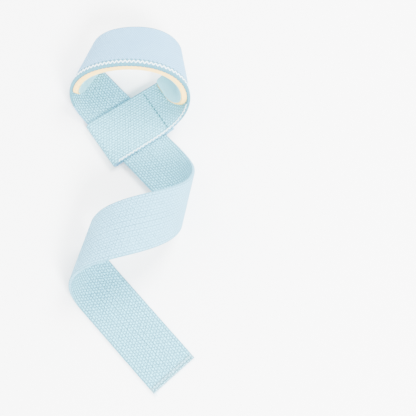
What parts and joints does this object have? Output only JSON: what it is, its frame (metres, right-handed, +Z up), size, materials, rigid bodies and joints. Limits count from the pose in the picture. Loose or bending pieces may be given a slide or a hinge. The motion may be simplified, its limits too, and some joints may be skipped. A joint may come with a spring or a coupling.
{
  "type": "wrist support strap",
  "caption": "Flat cotton webbing strap with a sewn slot, a padded wrist loop drawn through it and a long free tail that curls over once and lies flat.",
  "frame": {"origin": "middle of the slot's underside, on the surface that the strap lies on", "axes": "+Z up from the surface; +Y from the tail's end towards the wrist loop, the long way of the strap as it lies; +X to the right, seen with the wrist loop at the top"},
  "size_m": [0.091, 0.2621, 0.0555],
  "materials": {
    "webbing": "pale blue ribbed cotton webbing, matt",
    "foam": "beige foam, cut edge, matt",
    "lining": "smooth blue knitted lining, matt"
  },
  "bodies": {
    "root": {"webbing_strap": "webbing", "pad_foam": "foam", "pad_lining": "lining"}
  },
  "joints": []
}
